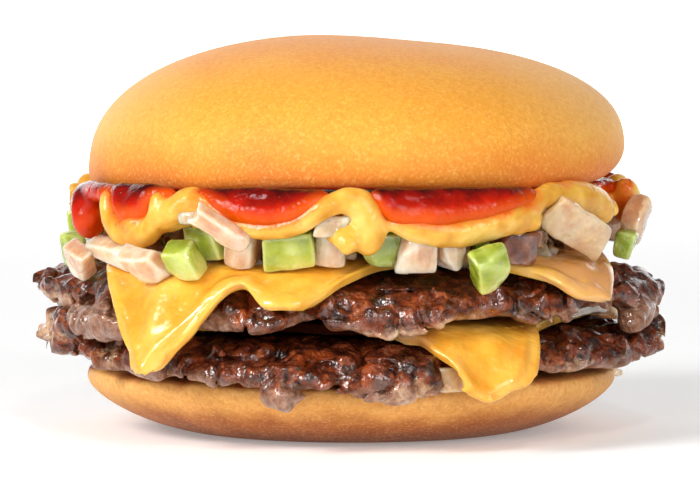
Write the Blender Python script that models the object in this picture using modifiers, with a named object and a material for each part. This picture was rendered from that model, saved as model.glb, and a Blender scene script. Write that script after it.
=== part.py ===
"""Double cheeseburger: two seared patties, each under a draped cheese slice, in a split bun with diced
onion and pickle, mustard and ketchup. Metres, +Z up, the front towards -Y, the origin under the middle
of the bun's base. An azimuth is in degrees, from the front towards the right (+X)."""

import math
import random

import bmesh
import bpy
from mathutils import Euler, Matrix, Vector, noise

MM = 0.001

# Heights of the layers where they are flat, from the base up.
HEEL_TOP = 13.2 * MM
LOWER_PATTY_MIDDLE = 17.95 * MM
LOWER_CHEESE_MIDDLE = 23.5 * MM
UPPER_PATTY_MIDDLE = 29.75 * MM
UPPER_CHEESE_MIDDLE = 35.8 * MM
HEAP_BOTTOM = 37.4 * MM
HEAP_TOP = 42.4 * MM
MUSTARD_MIDDLE = 44.5 * MM
KETCHUP_MIDDLE = 47.25 * MM
CROWN_UNDERSIDE = 48.8 * MM
CROWN_TOP = 77.2 * MM

# Bun.
HEEL_RADIUS = 52.0 * MM
HEEL_BASE_RADIUS = 31.0 * MM
HEEL_WIDEST = 10.0 * MM
HEEL_ROUNDING = 1.5
HEEL_SHIFT = 0.6 * MM
CROWN_RADIUS = 52.7 * MM
CROWN_WIDEST = 52.4 * MM
CROWN_LIP = 2.4 * MM
CROWN_SHIFT = 1.3 * MM
CROWN_ROUNDING = 2.25
CROWN_RIGHT_DIP = 1.3 * MM
CROWN_EDGE_START = 0.66
CROWN_LIP_ROUNDING = 2.4
HEEL_TOP_ROUNDING = 6.0
HEEL_UNEVENNESS = 0.5 * MM
HEEL_UNEVEN_WAVES = 3
HEEL_UNEVEN_TURN = 40
BUN_SEGMENTS = 32
BUN_RINGS = 18
# (azimuth, width, rise) of the crown's edge, in degrees and metres.
CROWN_EDGE_LOBES = (
    (-90, 70, -1.2 * MM),
    (0, 50, 0.9 * MM),
    (92, 34, 4.0 * MM),
    (180, 60, 0.8 * MM),
)

# The whole stack sags beyond this radius: (azimuth, width, sag at the patties' rim).
SAG_START = 42.0 * MM
SAG_EVERYWHERE = 1.7 * MM
SAG_LOBES = (
    (0, 80, 2.3 * MM),
    (92, 50, 0.6 * MM),
    (180, 70, 1.0 * MM),
)

# Patties: a slab with a rounded rim, whose rim reaches out and sags in lobes of its own.
PATTY_RADIUS = 57.3 * MM
PATTY_LOBE_START = 50.0 * MM
PATTY_HALF = 4.1 * MM
PATTY_SQUARENESS = 5.0
PATTY_RAGGEDNESS = 1.6 * MM
PATTY_RAGGED_BITS = 4
PATTY_SEGMENTS = 48
PATTY_RINGS = 12
# (azimuth, width, reach, sag, thickening) of each lobe, in degrees and metres.
UPPER_PATTY_LOBES = (
    (-92, 26, 3.6 * MM, -1.0 * MM, -0.8 * MM),
    (-66, 16, -0.8 * MM, 0.4 * MM, -0.6 * MM),
    (-38, 20, -0.6 * MM, 2.2 * MM, 0.0 * MM),
    (-21, 13, -0.6 * MM, 2.8 * MM, 0.0 * MM),
    (-7, 14, -3.0 * MM, 2.2 * MM, 0.0 * MM),
    (11, 12, 1.8 * MM, 1.0 * MM, 1.6 * MM),
    (27, 12, 0.4 * MM, -1.4 * MM, -0.6 * MM),
    (43, 11, 0.8 * MM, 2.2 * MM, 0.4 * MM),
    (62, 14, -0.6 * MM, 0.8 * MM, -0.6 * MM),
    (89, 20, 3.0 * MM, -0.6 * MM, 0.4 * MM),
    (128, 22, 1.4 * MM, 0.6 * MM, 0.3 * MM),
    (160, 16, -0.4 * MM, 1.8 * MM, 0.2 * MM),
    (192, 20, 1.8 * MM, -0.6 * MM, 0.6 * MM),
    (228, 20, 0.0 * MM, 1.6 * MM, -0.2 * MM),
)
LOWER_PATTY_LOBES = (
    (-92, 20, 4.6 * MM, -3.4 * MM, 0.0 * MM),
    (-68, 16, -0.8 * MM, 0.2 * MM, -0.4 * MM),
    (-42, 20, 0.2 * MM, 0.2 * MM, -0.1 * MM),
    (-14, 11, 1.6 * MM, 3.2 * MM, 0.3 * MM),
    (-1, 10, 0.0 * MM, 0.4 * MM, 0.0 * MM),
    (10, 11, 1.4 * MM, 2.4 * MM, 0.2 * MM),
    (28, 14, -0.4 * MM, 0.4 * MM, -0.3 * MM),
    (50, 18, 0.2 * MM, -1.0 * MM, -0.2 * MM),
    (90, 20, 4.8 * MM, -2.4 * MM, 0.0 * MM),
    (126, 18, 0.8 * MM, 1.0 * MM, 0.0 * MM),
    (156, 14, 0.6 * MM, 2.6 * MM, 0.2 * MM),
    (196, 20, 1.8 * MM, 0.2 * MM, 0.2 * MM),
    (236, 16, 0.6 * MM, 2.2 * MM, 0.2 * MM),
)

# Cheese: a slice laid over a patty, whose corners hang down past the rim.
CHEESE_THICKNESS = 2.2 * MM
CHEESE_CELLS = 18
CHEESE_EDGE_FINENESS = 0.66
# (azimuth, reach) of each corner as it would lie flat.
UPPER_CHEESE_CORNERS = ((-36.5, 75 * MM), (52, 64 * MM), (139, 65 * MM), (229, 66 * MM))
LOWER_CHEESE_CORNERS = ((25, 66 * MM), (116, 64 * MM), (207, 64 * MM), (-61, 58.5 * MM))
# (azimuth, width, reach) of drips and drawn-back stretches along a slice's edge.
UPPER_CHEESE_DRIPS = (
    (-22, 9, -3.0 * MM),
    (-11, 12, 8.5 * MM),
    (20, 20, -7.5 * MM),
    (44, 8, 2.5 * MM),
    (186, 14, 4.0 * MM),
)
LOWER_CHEESE_DRIPS = (
    (6, 9, -4.0 * MM),
    (19, 7, 4.0 * MM),
    (32, 8, 4.0 * MM),
    (150, 14, 3.5 * MM),
)

UPPER_CHEESE_EDGE = 54.3 * MM
UPPER_CHEESE_FRONT = -5
UPPER_CHEESE_FRONT_WIDTH = 75
UPPER_CHEESE_BENDS = (7.0 * MM, 8.0 * MM)
UPPER_CHEESE_STEEPEST = (66, 80)
LOWER_CHEESE_EDGES = (54.8 * MM, 57.0 * MM)
LOWER_CHEESE_LEFT = -61
LOWER_CHEESE_LEFT_WIDTH = 30
LOWER_CHEESE_BEND = 7.0 * MM
LOWER_CHEESE_STEEPEST = 80

# Sauces: thin sheets that hang in lobes round the edge.
SAUCE_SEGMENTS = 48
SAUCE_RINGS = 11
SAUCE_STEEPEST = 84
SAUCE_LEFT_DIP = 0.8 * MM
SAUCE_LEFT = -90
SAUCE_LEFT_WIDTH = 70
SAUCE_DIP_START = 35.0 * MM
SAUCE_DIP_END = 50.0 * MM
SAUCE_BEAD_LENGTH = 3.0 * MM
# (azimuth, width, reach) of each lobe beyond the sheet's own radius.
MUSTARD_RADIUS = 49.6 * MM
MUSTARD_THICKNESS = 2.4 * MM
MUSTARD_BEAD = 1.8 * MM
MUSTARD_BEAD_FROM = 57.4 * MM
MUSTARD_EDGE = 53.8 * MM
MUSTARD_BEND = 3.8 * MM
MUSTARD_LOBES = (
    (-90, 26, -5.4 * MM),
    (-48, 15, 10.6 * MM),
    (-33, 9, 7.6 * MM),
    (-20, 14, 9.0 * MM),
    (0, 10, 12.6 * MM),
    (19, 17, 11.6 * MM),
    (36, 14, 9.5 * MM),
    (68, 10, 6.0 * MM),
    (100, 22, 6.0 * MM),
    (142, 18, 11.0 * MM),
    (180, 18, 8.5 * MM),
    (214, 17, 11.5 * MM),
    (246, 14, 8.0 * MM),
)
KETCHUP_RADIUS = 48.0 * MM
KETCHUP_THICKNESS = 2.0 * MM
KETCHUP_BEAD = 1.4 * MM
KETCHUP_BEAD_FROM = 55.0 * MM
KETCHUP_EDGE = 53.0 * MM
KETCHUP_BEND = 8.0 * MM
KETCHUP_LOBES = (
    (-88, 13, 13.0 * MM),
    (-48, 13, 11.5 * MM),
    (-16, 19, 12.5 * MM),
    (16, 20, 13.0 * MM),
    (42, 16, 7.0 * MM),
    (90, 16, 4.0 * MM),
    (132, 18, 10.5 * MM),
    (176, 20, 11.5 * MM),
    (222, 16, 10.0 * MM),
)
# The blob at the left hangs closer in: how much nearer its bend starts, and how much tighter it is.
BLOB_AZIMUTH = -88
BLOB_WIDTH = 26
BLOB_EDGE_SHIFT = -5.5 * MM
BLOB_BEND_SHIFT = -3.0 * MM

# Diced topping: the heap's outline, and the large pieces round its edge.
HEAP_RADIUS = 42.6 * MM
HEAP_UNEVENNESS = 2.2 * MM
HEAP_LUMPS = 5
HEAP_DIPS = 6
HEAP_SEGMENTS = 32
HEAP_RINGS = 9
DICE_NARROWING = 0.9
DICE_BEVEL = 0.9 * MM
DICE_GAP = 0.5 * MM
# kind, azimuth, distance, drop below the slice, (width, depth, height) in millimetres, turn and lean.
FRONT_DICE = (
    ("pickle", -76, 54.0, 4.0, (4.6, 4.0, 5.6), 8, 12),
    ("onion", -59.5, 57.0, 4.0, (5.2, 3.2, 7.0), -3, 32),
    ("onion", -51.2, 56.2, 0.2, (8.0, 3.8, 3.8), 5, 4),
    ("onion", -39.2, 58.0, 0.0, (6.4, 4.2, 5.8), 6, -5),
    ("pickle", -32.4, 56.6, 0.2, (5.4, 4.6, 5.6), 6, 3),
    ("pickle", -31.6, 50.6, 0.0, (6.4, 4.2, 6.0), -6, -6),
    ("onion", -23.6, 57.0, -5.0, (10.4, 2.4, 3.4), 0, 46),
    ("onion", -22.4, 51.8, 0.0, (5.4, 4.6, 5.8), -8, 10),
    ("pickle", -12.2, 52.0, 0.0, (8.8, 5.0, 6.2), 5, -3),
    ("onion", -4.1, 50.6, 0.0, (5.0, 4.4, 5.4), -4, 2),
    ("pickle", 6.0, 50.9, 0.0, (5.8, 5.0, 5.8), 8, -5),
    ("onion", 13.4, 52.8, 0.2, (6.4, 5.0, 6.0), -8, 6),
    ("onion", 20.2, 53.2, 0.2, (4.2, 4.4, 5.6), 8, -14),
    ("pickle", 25.9, 57.2, 1.6, (6.2, 4.6, 7.4), 8, -12),
    ("onion", 35.8, 52.0, 0.0, (7.2, 5.0, 5.4), -8, 4),
    ("onion", 52, 56.4, 0.0, (10.6, 3.4, 8.4), -22, -8),
    ("pickle", 73, 54.6, 1.2, (4.0, 3.6, 4.6), 8, 5),
    ("onion", 79, 54.6, -1.4, (6.0, 4.4, 7.6), -6, 10),
)
BACK_DICE = 14
BACK_DICE_FIRST = 94
BACK_DICE_LAST = 262
BACK_DICE_DISTANCE = 51.9 * MM
BACK_DICE_SCATTER = 1.2
BACK_DICE_WIDTHS = (5.6, 8.4)
BACK_DICE_DEPTHS = (4.6, 5.2)
BACK_DICE_HEIGHTS = (5.0, 5.9)
BACK_DICE_TURN = 8
BACK_DICE_LEAN = 5
SHARP_ANGLE = 50

COLOURS = {
    "bun": ((0.83, 0.40, 0.13), 0.45),
    "patty": ((0.13, 0.045, 0.025), 0.35),
    "cheese": ((0.90, 0.45, 0.06), 0.28),
    "heap": ((0.80, 0.62, 0.36), 0.30),
    "onion": ((0.86, 0.72, 0.56), 0.22),
    "pickle": ((0.48, 0.56, 0.12), 0.25),
    "mustard": ((0.87, 0.56, 0.14), 0.25),
    "ketchup": ((0.55, 0.03, 0.01), 0.12),
}


def clear_scene():
    for item in list(bpy.data.objects):
        bpy.data.objects.remove(item, do_unlink=True)


def make_material(name):
    colour, roughness = COLOURS[name]
    material = bpy.data.materials.new(name)
    material.use_nodes = True
    shader = material.node_tree.nodes["Principled BSDF"]
    shader.inputs["Base Color"].default_value = (*colour, 1)
    shader.inputs["Roughness"].default_value = roughness
    shader.inputs["Metallic"].default_value = 0
    return material


def azimuth_of(x, y):
    return math.degrees(math.atan2(x, -y))


def spot(distance, azimuth, height):
    angle = math.radians(azimuth)
    return Vector((distance * math.sin(angle), -distance * math.cos(angle), height))


def lobe(azimuth, centre, width):
    """1 at the centre, falling smoothly to 0 a width away on either side."""
    off = abs((azimuth - centre + 180) % 360 - 180) / width
    return 0.5 + 0.5 * math.cos(math.pi * off) if off < 1 else 0.0


def lobe_sum(azimuth, lobes, column):
    return sum(row[column] * lobe(azimuth, row[0], row[1]) for row in lobes)


def smoothstep(value, low, high):
    t = min(max((value - low) / (high - low), 0.0), 1.0)
    return t * t * (3 - 2 * t)


def stack_sag(azimuth, radius):
    """How far the layers sink towards the rim."""
    depth = SAG_EVERYWHERE + lobe_sum(azimuth, SAG_LOBES, 2)
    past = max(radius - SAG_START, 0.0) / (PATTY_RADIUS - SAG_START)
    return depth * past * past


def mix(low, high, share):
    return low + (high - low) * share


def add_object(name, mesh, material, collection):
    mesh.shade_smooth()
    mesh.set_sharp_from_angle(angle=math.radians(SHARP_ANGLE))
    mesh.materials.append(material)
    item = bpy.data.objects.new(name, mesh)
    collection.objects.link(item)
    return item


def mesh_from(builder, name):
    mesh = bpy.data.meshes.new(name)
    builder.normal_update()
    builder.to_mesh(mesh)
    builder.free()
    return mesh


def moved_sphere(name, segments, rings, place):
    """A sphere whose every point goes to place(polar angle in degrees, azimuth in degrees)."""
    builder = bmesh.new()
    bmesh.ops.create_uvsphere(builder, u_segments=segments, v_segments=rings, radius=1)
    for vertex in builder.verts:
        polar = math.degrees(math.acos(min(max(vertex.co.z, -1.0), 1.0)))
        vertex.co = place(polar, azimuth_of(vertex.co.x, vertex.co.y))
    return mesh_from(builder, name)


def rounded(polar, power):
    """Radius and height, 0 to 1, on a superellipse quarter."""
    angle = math.radians(polar)
    return abs(math.sin(angle)) ** (2 / power), abs(math.cos(angle)) ** (2 / power)


# ---------------------------------------------------------------- bun


def heel_point(polar, azimuth):
    """Flat top with a soft edge, sides that round in to the flat base."""
    unevenness = HEEL_UNEVENNESS * math.sin(math.radians(HEEL_UNEVEN_WAVES * azimuth + HEEL_UNEVEN_TURN))
    radius = HEEL_RADIUS + unevenness
    if polar <= 90:
        out, up = rounded(polar, HEEL_TOP_ROUNDING)
        point = spot(radius * out, azimuth, mix(HEEL_WIDEST, HEEL_TOP, up))
    elif polar < 150:
        out, down = rounded(90 + (polar - 90) * 1.5, HEEL_ROUNDING)
        point = spot(mix(HEEL_BASE_RADIUS, radius, out), azimuth, HEEL_WIDEST * (1 - down))
    else:
        point = spot(HEEL_BASE_RADIUS * (180 - polar) / 30, azimuth, 0)
    point.x += HEEL_SHIFT
    return point


def crown_edge(azimuth, radius):
    return lobe_sum(azimuth, CROWN_EDGE_LOBES, 2) * smoothstep(radius, CROWN_EDGE_START * CROWN_RADIUS, CROWN_RADIUS)


def crown_point(polar, azimuth):
    """Dome, a tight lip at the widest line, and the cut underside."""
    to_right = 0.5 + 0.5 * math.sin(math.radians(azimuth))
    if polar <= 90:
        out, up = rounded(polar, CROWN_ROUNDING)
        radius = CROWN_RADIUS * out
        height = mix(CROWN_WIDEST, CROWN_TOP - CROWN_RIGHT_DIP * to_right, up)
        rise = crown_edge(azimuth, CROWN_RADIUS) * (1 - up)
    elif polar <= 120:
        out, down = rounded(90 + (polar - 90) * 3, CROWN_LIP_ROUNDING)
        radius = CROWN_RADIUS - CROWN_LIP * (1 - out)
        height = mix(CROWN_WIDEST, CROWN_UNDERSIDE, down)
        rise = crown_edge(azimuth, CROWN_RADIUS)
    else:
        radius = (CROWN_RADIUS - CROWN_LIP) * (180 - polar) / 60
        height = CROWN_UNDERSIDE
        rise = crown_edge(azimuth, radius)
    point = spot(radius, azimuth, height + rise)
    point.x += CROWN_SHIFT
    return point


def make_bun(collection):
    bun = make_material("bun")
    heel = moved_sphere("bun_bottom", BUN_SEGMENTS, BUN_RINGS, heel_point)
    add_object("bun_bottom", heel, bun, collection)
    crown = moved_sphere("bun_top", BUN_SEGMENTS, BUN_RINGS, crown_point)
    add_object("bun_top", crown, bun, collection)


# ---------------------------------------------------------------- patties


def patty_placer(middle, lobes, seed):
    def place(polar, azimuth):
        out, up = rounded(polar, PATTY_SQUARENESS)
        around = spot(PATTY_RAGGED_BITS, azimuth, 0) + Vector((seed, 0, 0))
        ragged = noise.noise(around) * PATTY_RAGGEDNESS
        rim = PATTY_RADIUS + lobe_sum(azimuth, lobes, 2) + ragged
        radius = rim * out
        share = smoothstep(radius, PATTY_LOBE_START, rim)
        centre = middle - stack_sag(azimuth, radius) - lobe_sum(azimuth, lobes, 3) * share
        half = PATTY_HALF + lobe_sum(azimuth, lobes, 4) * share
        side = 1 if polar < 90 else -1
        return spot(radius, azimuth, centre + side * half * up)

    return place


def make_patties(collection):
    meat = make_material("patty")
    for name, middle, lobes, seed in (
        ("patty_lower", LOWER_PATTY_MIDDLE, LOWER_PATTY_LOBES, 11.3),
        ("patty_upper", UPPER_PATTY_MIDDLE, UPPER_PATTY_LOBES, 4.7),
    ):
        mesh = moved_sphere(name, PATTY_SEGMENTS, PATTY_RINGS, patty_placer(middle, lobes, seed))
        add_object(name, mesh, meat, collection)


# ---------------------------------------------------------------- draped sheets


def drape(distance, azimuth, middle, edge, bend, steepest):
    """A point of a sheet that lies flat out to the edge, then bends down and hangs at the steepest angle."""
    past = max(distance - edge, 0.0)
    angle = min(past / bend, math.radians(steepest))
    hanging = past - bend * angle
    radius = min(distance, edge) + bend * math.sin(angle) + hanging * math.cos(angle)
    height = middle - bend * (1 - math.cos(angle)) - hanging * math.sin(angle)
    return spot(radius, azimuth, height)


def sagging(point, azimuth):
    point.z -= stack_sag(azimuth, math.hypot(point.x, point.y))
    return point


def solidify(item, thickness):
    modifier = item.modifiers.new("thickness", "SOLIDIFY")
    modifier.thickness = thickness
    modifier.offset = 0
    modifier.use_even_offset = False


def spread(share):
    """Grid lines gathered towards the edges of a slice, share from -1 to 1."""
    return math.copysign(abs(share) ** CHEESE_EDGE_FINENESS, share)


def slice_point(u, v, corners):
    """A flat slice with four corners, u and v from -1 to 1."""
    flat = [spot(reach, azimuth, 0) for azimuth, reach in corners]
    near = flat[0].lerp(flat[1], (1 + u) / 2)
    far = flat[3].lerp(flat[2], (1 + u) / 2)
    return near.lerp(far, (1 + v) / 2)


def make_cheese(name, corners, drips, middle, edges, material, collection):
    builder = bmesh.new()
    bmesh.ops.create_grid(builder, x_segments=CHEESE_CELLS, y_segments=CHEESE_CELLS, size=1)
    for vertex in builder.verts:
        u, v = spread(vertex.co.x), spread(vertex.co.y)
        flat = slice_point(u, v, corners)
        azimuth = azimuth_of(flat.x, flat.y)
        outermost = max(abs(u), abs(v)) ** 4
        distance = flat.length + lobe_sum(azimuth, drips, 2) * outermost
        edge, bend, steepest = edges(azimuth)
        vertex.co = sagging(drape(distance, azimuth, middle, edge, bend, steepest), azimuth)
    bmesh.ops.recalc_face_normals(builder, faces=builder.faces)
    item = add_object(name, mesh_from(builder, name), material, collection)
    solidify(item, CHEESE_THICKNESS)


def upper_cheese_edges(azimuth):
    """Where the slice starts to bend, its bend radius and its steepest angle."""
    front = lobe(azimuth, UPPER_CHEESE_FRONT, UPPER_CHEESE_FRONT_WIDTH)
    return UPPER_CHEESE_EDGE, mix(*UPPER_CHEESE_BENDS, front), mix(*UPPER_CHEESE_STEEPEST, front)


def lower_cheese_edges(azimuth):
    left = lobe(azimuth, LOWER_CHEESE_LEFT, LOWER_CHEESE_LEFT_WIDTH)
    return mix(*LOWER_CHEESE_EDGES, left), LOWER_CHEESE_BEND, LOWER_CHEESE_STEEPEST


def make_cheeses(collection):
    cheese = make_material("cheese")
    make_cheese("cheese_lower", LOWER_CHEESE_CORNERS, LOWER_CHEESE_DRIPS, LOWER_CHEESE_MIDDLE,
                lower_cheese_edges, cheese, collection)
    make_cheese("cheese_upper", UPPER_CHEESE_CORNERS, UPPER_CHEESE_DRIPS, UPPER_CHEESE_MIDDLE,
                upper_cheese_edges, cheese, collection)


# ---------------------------------------------------------------- sauces


def make_sauce(name, radius, lobes, middle, thickness, bead, edges):
    """A round sheet that hangs in lobes round the edge, each swelling outwards to a bead of the given
    (thickness, start)."""

    def along(distance, azimuth):
        edge, bend = edges(azimuth)
        point = drape(distance, azimuth, middle, edge, bend, SAUCE_STEEPEST)
        left = lobe(azimuth, SAUCE_LEFT, SAUCE_LEFT_WIDTH)
        point.z -= SAUCE_LEFT_DIP * left * smoothstep(distance, SAUCE_DIP_START, SAUCE_DIP_END)
        return point

    def place(polar, azimuth):
        out, up = rounded(polar, PATTY_SQUARENESS)
        distance = (radius + lobe_sum(azimuth, lobes, 2)) * out
        point = along(distance, azimuth)
        outward = along(distance + 0.1 * MM, azimuth) - point
        sideways = spot(1, azimuth + 90, 0)
        upward = outward.cross(sideways).normalized()
        side = 1 if polar < 90 else -1
        swelling = bead[0] * smoothstep(distance, bead[1], bead[1] + SAUCE_BEAD_LENGTH)
        half = (thickness + swelling) / 2
        return point + upward * (side * up * half + swelling / 2)

    return moved_sphere(name, SAUCE_SEGMENTS, SAUCE_RINGS, place)


def mustard_edges(azimuth):
    return MUSTARD_EDGE, MUSTARD_BEND


def ketchup_edges(azimuth):
    blob = lobe(azimuth, BLOB_AZIMUTH, BLOB_WIDTH)
    return KETCHUP_EDGE + BLOB_EDGE_SHIFT * blob, KETCHUP_BEND + BLOB_BEND_SHIFT * blob


def make_sauces(collection):
    mustard = make_sauce("mustard", MUSTARD_RADIUS, MUSTARD_LOBES, MUSTARD_MIDDLE,
                         MUSTARD_THICKNESS, (MUSTARD_BEAD, MUSTARD_BEAD_FROM), mustard_edges)
    add_object("mustard", mustard, make_material("mustard"), collection)
    ketchup = make_sauce("ketchup", KETCHUP_RADIUS, KETCHUP_LOBES, KETCHUP_MIDDLE,
                         KETCHUP_THICKNESS, (KETCHUP_BEAD, KETCHUP_BEAD_FROM), ketchup_edges)
    add_object("ketchup", ketchup, make_material("ketchup"), collection)


# ---------------------------------------------------------------- diced topping


def heap_point(polar, azimuth):
    out, up = rounded(polar, PATTY_SQUARENESS)
    lumps = noise.noise(spot(HEAP_LUMPS, azimuth, 3 * out))
    radius = (HEAP_RADIUS + lumps * HEAP_UNEVENNESS) * out
    half = (HEAP_TOP - HEAP_BOTTOM) / 2
    dip = (1 - abs(noise.noise(spot(HEAP_DIPS * out, azimuth, 1)))) if polar < 90 else 1
    side = 1 if polar < 90 else -1
    return spot(radius, azimuth, HEAP_BOTTOM + half + side * half * up * dip)


def dice_frame(distance, azimuth, height):
    """Where a piece's middle is when it lies on the upper slice, and the directions of its edges."""
    above = UPPER_CHEESE_MIDDLE + CHEESE_THICKNESS / 2
    edge, bend, steepest = upper_cheese_edges(azimuth)
    foot = sagging(drape(distance, azimuth, above, edge, bend, steepest), azimuth)
    inward = sagging(drape(distance - MM, azimuth, above, edge, bend, steepest), azimuth)
    outward = sagging(drape(distance + MM, azimuth, above, edge, bend, steepest), azimuth)
    depth_axis = (outward - inward).normalized()
    width_axis = spot(1, azimuth + 90, 0)
    up_axis = depth_axis.cross(width_axis)
    axes = Matrix((width_axis, -depth_axis, up_axis)).transposed()
    return foot + up_axis * (DICE_GAP + height / 2), axes


def dice_mesh(name, distance, azimuth, drop, size, turn, lean):
    builder = bmesh.new()
    bmesh.ops.create_cube(builder, size=1)
    for vertex in builder.verts:
        narrowing = DICE_NARROWING if vertex.co.z > 0 else 1.0
        vertex.co.x *= size[0] * narrowing
        vertex.co.y *= size[1] * narrowing
        vertex.co.z *= size[2]
    tilt = Euler((0, math.radians(lean), math.radians(turn)))
    lift = abs(math.sin(math.radians(lean))) * size[0] / 2
    centre, axes = dice_frame(distance, azimuth, size[2] + 2 * lift)
    centre.z -= drop
    matrix = Matrix.Translation(centre) @ axes.to_4x4() @ tilt.to_matrix().to_4x4()
    bmesh.ops.transform(builder, matrix=matrix, verts=builder.verts)
    return mesh_from(builder, name)


def back_dice():
    """The same kind of pieces round the far side."""
    chance = random.Random(7)
    step = (BACK_DICE_LAST - BACK_DICE_FIRST) / (BACK_DICE - 1)
    for index in range(BACK_DICE):
        kind = "pickle" if index % 3 == 1 else "onion"
        azimuth = BACK_DICE_FIRST + step * index + chance.uniform(-BACK_DICE_SCATTER, BACK_DICE_SCATTER)
        ranges = (BACK_DICE_WIDTHS, BACK_DICE_DEPTHS, BACK_DICE_HEIGHTS)
        size = [chance.uniform(*limits) * MM for limits in ranges]
        turn = chance.uniform(-BACK_DICE_TURN, BACK_DICE_TURN)
        lean = chance.uniform(-BACK_DICE_LEAN, BACK_DICE_LEAN)
        yield kind, azimuth, BACK_DICE_DISTANCE, 0.0, size, turn, lean


def front_dice():
    for kind, azimuth, distance, drop, size, turn, lean in FRONT_DICE:
        yield kind, azimuth, distance * MM, drop * MM, [edge * MM for edge in size], turn, lean


def make_topping(collection):
    heap = moved_sphere("topping_heap", HEAP_SEGMENTS, HEAP_RINGS, heap_point)
    add_object("topping_heap", heap, make_material("heap"), collection)
    materials = {"onion": make_material("onion"), "pickle": make_material("pickle")}
    counts = {"onion": 0, "pickle": 0}
    for kind, azimuth, distance, drop, size, turn, lean in (*front_dice(), *back_dice()):
        counts[kind] += 1
        mesh = dice_mesh(f"{kind}_{counts[kind]:02d}", distance, azimuth, drop, size, turn, lean)
        item = add_object(mesh.name, mesh, materials[kind], collection)
        bevel = item.modifiers.new("rounding", "BEVEL")
        bevel.width = DICE_BEVEL
        bevel.segments = 1
        bevel.limit_method = "NONE"


def main():
    clear_scene()
    collection = bpy.data.collections.new("double_cheeseburger")
    bpy.context.scene.collection.children.link(collection)
    make_bun(collection)
    make_patties(collection)
    make_cheeses(collection)
    make_sauces(collection)
    make_topping(collection)


main()
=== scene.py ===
import math
import random

import bmesh
import bpy
import numpy as np
from mathutils import Euler, Matrix, Vector, kdtree, noise
from mathutils.bvhtree import BVHTree


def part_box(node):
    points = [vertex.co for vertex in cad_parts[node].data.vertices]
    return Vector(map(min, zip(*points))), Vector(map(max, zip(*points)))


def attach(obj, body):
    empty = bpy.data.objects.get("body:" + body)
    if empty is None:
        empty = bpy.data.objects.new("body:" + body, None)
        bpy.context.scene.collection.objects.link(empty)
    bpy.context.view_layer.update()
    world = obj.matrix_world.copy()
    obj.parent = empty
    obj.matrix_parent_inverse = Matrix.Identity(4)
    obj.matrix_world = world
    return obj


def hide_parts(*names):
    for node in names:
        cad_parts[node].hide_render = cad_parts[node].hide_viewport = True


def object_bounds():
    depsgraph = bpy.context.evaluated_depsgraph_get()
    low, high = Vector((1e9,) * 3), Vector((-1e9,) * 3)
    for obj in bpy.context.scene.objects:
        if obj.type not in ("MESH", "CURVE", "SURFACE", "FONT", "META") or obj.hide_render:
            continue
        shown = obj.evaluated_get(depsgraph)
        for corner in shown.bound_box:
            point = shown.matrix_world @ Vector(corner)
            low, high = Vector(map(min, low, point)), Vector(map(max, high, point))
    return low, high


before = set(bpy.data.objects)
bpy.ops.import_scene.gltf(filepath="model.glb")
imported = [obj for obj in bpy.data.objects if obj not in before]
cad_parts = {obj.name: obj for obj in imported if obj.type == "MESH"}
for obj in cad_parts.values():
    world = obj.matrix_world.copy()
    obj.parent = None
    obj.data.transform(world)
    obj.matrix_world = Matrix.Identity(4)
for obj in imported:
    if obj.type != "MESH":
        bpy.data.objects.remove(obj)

MM = 0.001
BOUNDS_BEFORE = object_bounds()


# ---- general


def azimuth_of(x, y):
    """Degrees from the front (-Y) towards the right (+X)."""
    return np.degrees(np.arctan2(x, -y))


def spot(distance, azimuth, height):
    angle = math.radians(azimuth)
    return Vector((distance * math.sin(angle), -distance * math.cos(angle), height))


def azimuths(points):
    return azimuth_of(points[:, 0], points[:, 1])


def reaches(points):
    """Distances from the upright axis through the origin."""
    return np.hypot(points[:, 0], points[:, 1])


def colour(red, green, blue):
    """Linear colour from 0 to 255 display values."""
    shares = [value / 255 for value in (red, green, blue)]
    return [s / 12.92 if s <= 0.04045 else ((s + 0.055) / 1.055) ** 2.4 for s in shares]


def smoothstep(value, low, high):
    t = np.clip((value - low) / (high - low), 0, 1)
    return t * t * (3 - 2 * t)


def round_about(azimuth, values):
    """Reads between values that stand evenly round the circle from azimuth 0."""
    return np.interp(azimuth, np.arange(len(values)) * 360 / len(values), values, period=360)


def bell(off, width):
    """1 at nothing, falling away on both sides."""
    return np.exp(-(off / width) ** 2)


def placed(name, data):
    """A new object in the scene."""
    item = bpy.data.objects.new(name, data)
    bpy.context.scene.collection.objects.link(item)
    return item


def add_piece(name, mesh, look, replaced, slot):
    """A finished mesh becomes a piece of the object."""
    item = placed(name, mesh)
    mesh.materials.clear()
    mesh.materials.append(look.material)
    mesh.shade_smooth()
    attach(item, "root")
    for node in replaced:
        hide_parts(node)


def triples(source, key):
    values = np.zeros(len(source) * 3, np.float32)
    source.foreach_get(key, values)
    return values.reshape(-1, 3)


def coordinates(mesh):
    return triples(mesh.vertices, "co")


def normals(mesh):
    return triples(mesh.vertex_normals, "vector")


def set_coordinates(mesh, values):
    mesh.vertices.foreach_set("co", np.ascontiguousarray(values, np.float32).ravel())
    mesh.update()


def push(mesh, amounts):
    """Moves each vertex along its normal."""
    set_coordinates(mesh, coordinates(mesh) + normals(mesh) * np.asarray(amounts, np.float32)[:, None])


def node_builder(node):
    """The CAD node's mesh, welded and with its triangles paired into quads."""
    builder = bmesh.new()
    builder.from_mesh(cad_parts[node].data)
    bmesh.ops.remove_doubles(builder, verts=builder.verts, dist=0.01 * MM)
    bmesh.ops.join_triangles(builder, faces=builder.faces, angle_face_threshold=math.radians(40),
                             angle_shape_threshold=math.radians(60))
    return builder


def folded_edges(builder, least=50):
    """The edges whose two faces meet at more than the least angle, in degrees."""
    return [edge for edge in builder.edges
            if len(edge.link_faces) == 2 and edge.calc_face_angle() > math.radians(least)]


def mesh_from(builder):
    """The builder's mesh; the builder is used up."""
    mesh = bpy.data.meshes.new("mesh")
    builder.to_mesh(mesh)
    builder.free()
    return mesh


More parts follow.
